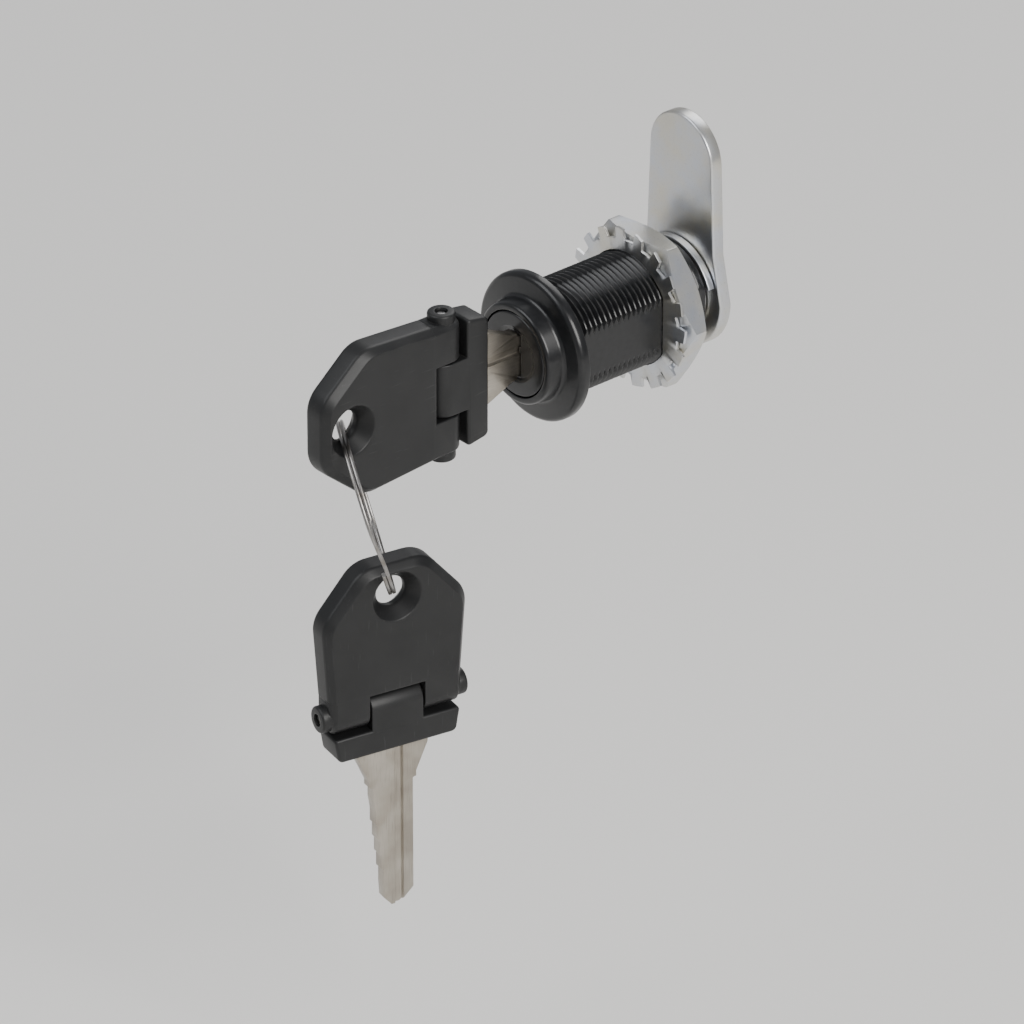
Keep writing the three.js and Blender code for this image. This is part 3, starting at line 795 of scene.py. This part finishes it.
def blade():
    """The flat blade's outline, with its tapered shoulder, its stop, its point and its cuts, as thick as the
    packed blade. Each cut is a flat as long as the wafers' pitch less a short ramp, and a groove is milled
    down each face."""
    low, high = limits("main_key_blade")
    pitch = wafer_y[1] - wafer_y[0]
    cuts = []
    for i in reversed(range(WAFERS)):
        z = -(BLADE_HALF_Z - CUT_STEP * (i + 1))
        cuts += [(wafer_y[i] + pitch / 2 - 0.25, z), (wafer_y[i] - pitch / 2 + 0.25, z)]
    near, tip = -12.3, high[1]
    stop = FACE_Y - 0.15
    tang, shoulder, neck = 5.0, 6.15, 4.1  # half heights in the block, at the shoulder and at the stop
    upper = [(low[1], tang), (near + 0.05, tang), (near + 0.1, shoulder)]
    upper += [(near + 1.4, shoulder), (stop - 1.0, neck), (stop, neck)]
    point = [(stop + 0.05, BLADE_HALF_Z), (tip - 2.2, BLADE_HALF_Z)]
    point += [(tip, 1.2), (tip, -0.4), (tip - 1.4, -1.6)]
    lower = [(y, -z) for y, z in reversed(upper)]
    outline = upper + point + cuts + [(-3.0, -BLADE_HALF_Z), (stop + 0.05, -BLADE_HALF_Z)] + lower
    made = prism("key_blade", rounded(outline, 0.12, 3), eased(low[0], high[0], 0.1, 3), "x")
    for side in (-1, 1):
        bed_x, mouth_x = side * 0.5, side * 1.25
        groove = rounded([(bed_x, 0.5), (mouth_x, 0.1), (mouth_x, 1.9), (bed_x, 1.5)], 0.1, 3)
        carve(made, prism("groove", groove, [(near - 0.2, 0), (tip + 1, 0)], "y"))
    return made


def pin_hole(piece):
    """Drills the pin's hole through the whole piece, along z through the hinge."""
    return carve(piece, prism("pin_hole", circle(PIN_HOLE_R, 32, (0, HINGE_Y)), [(-20, 0), (20, 0)], "z"))


def knuckle(name, levels, root_y):
    """One leaf of the hinge: a block as thick as it is round, ending in a half circle about the pin."""
    half_t = HEAD_HALF_T - 0.03
    bend = arc_points(half_t, 0, math.copysign(TURN / 2, HINGE_Y - root_y), 28, (0, HINGE_Y))
    leaf = np.vstack([bend, [(-half_t, root_y), (half_t, root_y)]])
    return prism(name, leaf, levels, "z")


def shank_block():
    """The block's outline rounded on every edge, with the hinge's middle knuckle joined on."""
    low, high = limits("main_key_shank_block")
    near, far, wide = high[1], HINGE_Y + HINGE_GAP, high[2]
    narrow = wide - 0.7
    outline = [(near, -narrow), (near, narrow), (far, wide), (far, -wide)]
    outline = rounded(outline, [1.0, 1.0, 0.55, 0.55])
    made = prism("key_shank_block", outline, eased(low[0], high[0], 0.5, 5), "x")
    carve(made, knuckle("middle_knuckle", eased(-KNUCKLE_HALF, KNUCKLE_HALF, 0.22), far + 0.8), "UNION")
    carve(made, box("tang_slot", (-1.03, 1.03), (near - 2.65, near + 1), (-5.05, 5.05)))
    return pin_hole(made)


def grip():
    """Four loops lie in the plane of the grip: its rim, its flat face's edge, the hole's mouth and the
    hole's throat. Long sides are split so that no step turns more than 5 degrees about the hole. Going
    round the section, t is 0 on the rim and 1, 2 and 3 on the other loops, and between two loops a point
    is their mean in that share. Each corner of the section is a curve (1 - s)^2 a + 2 s (1 - s) b + s^2 c
    past the corner b."""
    near = HINGE_Y - HINGE_GAP
    neck, wide, chamfer_y, chamfer_z = 11.6, 12.6, -36.4, 5.6
    top_side = [(near, neck), (chamfer_y, wide), (FAR_Y, chamfer_z)]
    corners = np.array([(near, -neck), *top_side, (FAR_Y, -chamfer_z), (chamfer_y, -wide)])
    slope = np.array([0.3, 1.0, 1.35, 1.15, 1.35, 1.0])  # width of the bevel inside each side, near end first
    side = np.roll(corners, -1, 0) - corners
    inward = np.stack([side[:, 1], -side[:, 0]], -1) / np.linalg.norm(side, axis=1, keepdims=True)
    inward *= np.sign(((corners.mean(0) - corners) * inward).sum(1, keepdims=True))
    reach = (corners * inward).sum(1) + slope
    normals = np.stack([np.roll(inward, 1, 0), inward], 1)
    shrunk = np.linalg.solve(normals, np.stack([np.roll(reach, 1), reach], 1)[..., None])[..., 0]
    rim = rounded(corners, [0.6, 0.6, 5.0, 5.0, 5.0, 5.0], 9)
    face = rounded(shrunk, [0.4, 0.4, 4.0, 4.0, 4.0, 4.0], 9)

    hole = np.array([HOLE_Y, 0])
    arm = (face - hole) @ (1, 1j)
    parts = np.ceil(np.abs(np.angle(np.roll(arm, -1) / arm)) / math.radians(5)).astype(int)
    at = np.concatenate([i + np.arange(count) / count for i, count in enumerate(parts)])
    i, beyond = at.astype(int), (at % 1)[:, None]
    rim, face = [loop[i] * (1 - beyond) + np.roll(loop, -1, 0)[i] * beyond for loop in (rim, face)]
    spoke = (face - hole) / np.linalg.norm(face - hole, axis=1, keepdims=True)
    loops = np.stack([rim, face, hole + HOLE_MOUTH_R * spoke, hole + HOLE_THROAT_R * spoke])

    rim_x, face_x, throat_x = 1.6, HEAD_HALF_T, 0.5
    upper = np.array([(0, rim_x), (1, face_x), (2, face_x), (3, throat_x)])
    path = np.vstack([upper, upper[::-1] * (1, -1)])
    # The share of each stretch that is eased, at its start and then at its end.
    share = np.array([0.22, 0.05, 0.1, 0.2, 0.2, 0.1, 0.22, 0.12])
    share_end = np.array([0.22, 0.1, 0.2, 0.2, 0.1, 0.05, 0.22, 0.12])
    ahead = np.roll(path, -1, 0)
    leave = path + (ahead - path) * share[:, None]
    arrive = ahead + (path - ahead) * share_end[:, None]
    s = np.linspace(0, 1, 6)[None, :, None]
    start = np.roll(arrive, 1, 0)[:, None]
    section = ((1 - s) ** 2 * start + 2 * s * (1 - s) * path[:, None] + s**2 * leave[:, None]).reshape(-1, 2)
    t, x = section[:, 0], section[:, 1]
    lower = np.clip(np.floor(t).astype(int), 0, 2)
    part = (t - lower)[:, None, None]
    flat = loops[lower] * (1 - part) + loops[lower + 1] * part
    rings = np.insert(flat, 0, np.broadcast_to(x[:, None], flat.shape[:2]), axis=2)
    made = skin("key_grip", rings, looped=True)

    ear = [*eased(KNUCKLE_HALF + 0.3, 10, 0.22)[:4], (10.45, 0), (10.65, 0.07), (11.38, 0.88), (11.5, 1.06)]
    for end in (-1, 1):
        boss = eased(10.9, BUMP_END, 0.4)
        carve(made, knuckle("ear", np.array(ear) * (end, 1), near - 1.2), "UNION")
        carve(made, prism("boss", circle(2.2, 40, (0, HINGE_Y)), boss * (end, 1), "z"), "UNION")
    return pin_hole(made)


def hinge_pin():
    """A plain pin with its ends rounded over."""
    low, high = limits("main_key_hinge_pin")
    return prism("key_hinge_pin", circle(PIN_R, 32, (0, HINGE_Y)), eased(low[2], high[2], 0.3, 5), "z")


def key_matrix(fold_joint):
    """Where a key that was made in the keyway goes: its width lies along the fold joint's axis, its length
    down, and the fold joint's point is on its hinge."""
    width = np.array(joints[fold_joint]["axis"])
    along = np.array([0.0, 0.0, -1.0])
    face = np.cross(along, width)
    turn = np.stack([face, along, width], -1)
    moved = np.array(joints[fold_joint]["pos_m"]) - turn @ np.array([0, HINGE_Y * MM, 0])
    matrix = np.eye(4)
    matrix[:3, :3], matrix[:3, 3] = turn, moved
    return Matrix(matrix.tolist())


nickel = nickel_with_painted_wood_reflection("nickel_with_painted_wood_reflection")
plastic = moulded_black("moulded_black")
key_pieces = {
    "blade": (blade(), nickel, "nickel", "main_key", "spare_key"),
    "shank_block": (shank_block(), plastic, "black_plastic", "main_key", "spare_key"),
    "grip": (grip(), plastic, "black_plastic", "main_key_handle", "spare_key_handle"),
    "hinge_pin": (hinge_pin(), wire_steel, "spring_steel", "main_key", "spare_key"),
}
hanging = key_matrix("spare_key_fold")
for part, (piece, material, slot_name, main_body, spare_body) in key_pieces.items():
    place = piece.data.attributes.new("key_place", "FLOAT_VECTOR", "POINT")
    spot = np.empty(len(piece.data.vertices) * 3, np.float32)
    piece.data.vertices.foreach_get("co", spot)
    place.data.foreach_set("vector", spot)
    spare = bpy.data.objects.new("hanging_" + piece.name, piece.data.copy())
    bpy.context.scene.collection.objects.link(spare)
    spare.data.transform(hanging)
    fitted(piece, material, slot_name, main_body, "main_key_" + part)
    fitted(spare, material, slot_name, spare_body, "spare_key_" + part)

# ------------------------------------------------------------------------------------------------
# Ring: a split ring, two turns of flat spring wire that lie side by side and cross over once.
# ------------------------------------------------------------------------------------------------
STRIP_T = 0.86
STRIP_W = 0.58
CROSS_OVER = 0.06  # share of a turn over which the wire changes sides


def split_ring(top, bottom, tangent):
    """A strip carried twice round a circle through top and bottom. Counted in turns t from 0 to 2, it
    lies on one side up to the cross-over at t = 1 and on the other after it, easing across as 3 s s - 2 s
    s s."""
    middle, radius = (top + bottom) / 2, np.linalg.norm(bottom - top) / 2
    fall = (bottom - top) / (2 * radius)
    normal = np.cross(tangent, fall)
    t = np.linspace(CROSS_OVER, 2 - CROSS_OVER, 180)[:, None]
    s = np.clip((t - 1) / CROSS_OVER / 2 + 0.5, 0, 1)
    aside = (STRIP_W / 2 + 0.02) * (2 * (3 * s**2 - 2 * s**3) - 1)
    thick, wide = STRIP_T / 2, STRIP_W / 2
    strip = rounded([(-thick, -wide), (thick, -wide), (thick, wide), (-thick, wide)], 0.2, 4)
    reach = (radius + strip[:, 0]) + 0 * t
    over = aside + strip[:, 1]
    spoke = np.cos(TURN * t) * tangent + np.sin(TURN * t) * fall
    rings = middle + reach[..., None] * spoke[:, None] + over[..., None] * normal
    return skin("split_key_ring", rings)


top = np.array(joints["ring_swing"]["pos_m"]) / MM
bottom = np.array(joints["spare_key_swing"]["pos_m"]) / MM
ring = split_ring(top, bottom, np.array(joints["ring_swing"]["axis"]))
ring_steel = drawn_wire("ring_steel", (0.31, 0.30, 0.29), (0.20, 0.18, 0.155))
fitted(ring, ring_steel, "spring_steel", "ring", "key_ring")

# ------------------------------------------------------------------------------------------------
# Studio: a pale floor well below the lock, three soft lamps and a pale room, and a long lens
# that looks down on the lock from the front right.
# ------------------------------------------------------------------------------------------------
AZIMUTH = math.radians(49.5)
ELEVATION = math.radians(29.6)
DISTANCE = 1.6
FIELD = 0.158  # metres across the frame at the lock
lowest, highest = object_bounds()
centre = (lowest + highest) / 2


def look_at(thing, place, target):
    """Puts a camera or lamp at a place, with its -Z towards the target and its Y up."""
    thing.location = place
    thing.rotation_mode = "QUATERNION"
    thing.rotation_quaternion = (target - place).to_track_quat("-Z", "Y")
    bpy.context.scene.collection.objects.link(thing)


def direction(azimuth, elevation):
    """The way to a point seen from the lock: azimuth turns from -Y towards +X, and elevation rises from
    level."""
    flat = math.cos(elevation)
    return Vector((math.sin(azimuth) * flat, -math.cos(azimuth) * flat, math.sin(elevation)))


floor_mesh = bpy.data.meshes.new("floor")
reach = 6.0
floor_z = lowest.z - 0.035
edge = [(-reach, -reach, floor_z), (reach, -reach, floor_z), (reach, reach, floor_z), (-reach, reach, floor_z)]
floor_mesh.from_pydata(edge, [], [(0, 1, 2, 3)])
floor = bpy.data.objects.new("floor", floor_mesh)
bpy.context.scene.collection.objects.link(floor)
pale = Finish("pale_floor", Base_Color=(0.74, 0.73, 0.71, 1), Roughness=0.75)
floor.data.materials.append(pale.done())

camera = bpy.data.objects.new("camera", bpy.data.cameras.new("camera"))
camera.data.lens = camera.data.sensor_width * DISTANCE / FIELD
camera.data.clip_start, camera.data.clip_end = 0.05, 30
look_at(camera, centre + direction(AZIMUTH, ELEVATION) * DISTANCE, centre)
bpy.context.scene.camera = camera

lamps = [
    ("window_lamp", 82, 33, 1.0, 0.6, 11.0, (1.0, 0.985, 0.96)),
    ("front_lamp", -25, 50, 1.2, 0.8, 7.0, (0.97, 0.985, 1.0)),
    ("back_lamp", 205, 42, 1.4, 0.9, 8.0, (1.0, 0.99, 0.98)),
]
for name, azimuth, elevation, distance, size, power, colour in lamps:
    lamp = bpy.data.lights.new(name, "AREA")
    lamp.size = size
    lamp.energy = power
    lamp.color = colour
    way = direction(math.radians(azimuth), math.radians(elevation))
    look_at(bpy.data.objects.new(name, lamp), centre + way * distance, centre)

world = bpy.data.worlds.new("room")
world.use_nodes = True
world.node_tree.nodes["Background"].inputs["Color"].default_value = (0.93, 0.95, 1.0, 1)
world.node_tree.nodes["Background"].inputs["Strength"].default_value = 0.36
bpy.context.scene.world = world
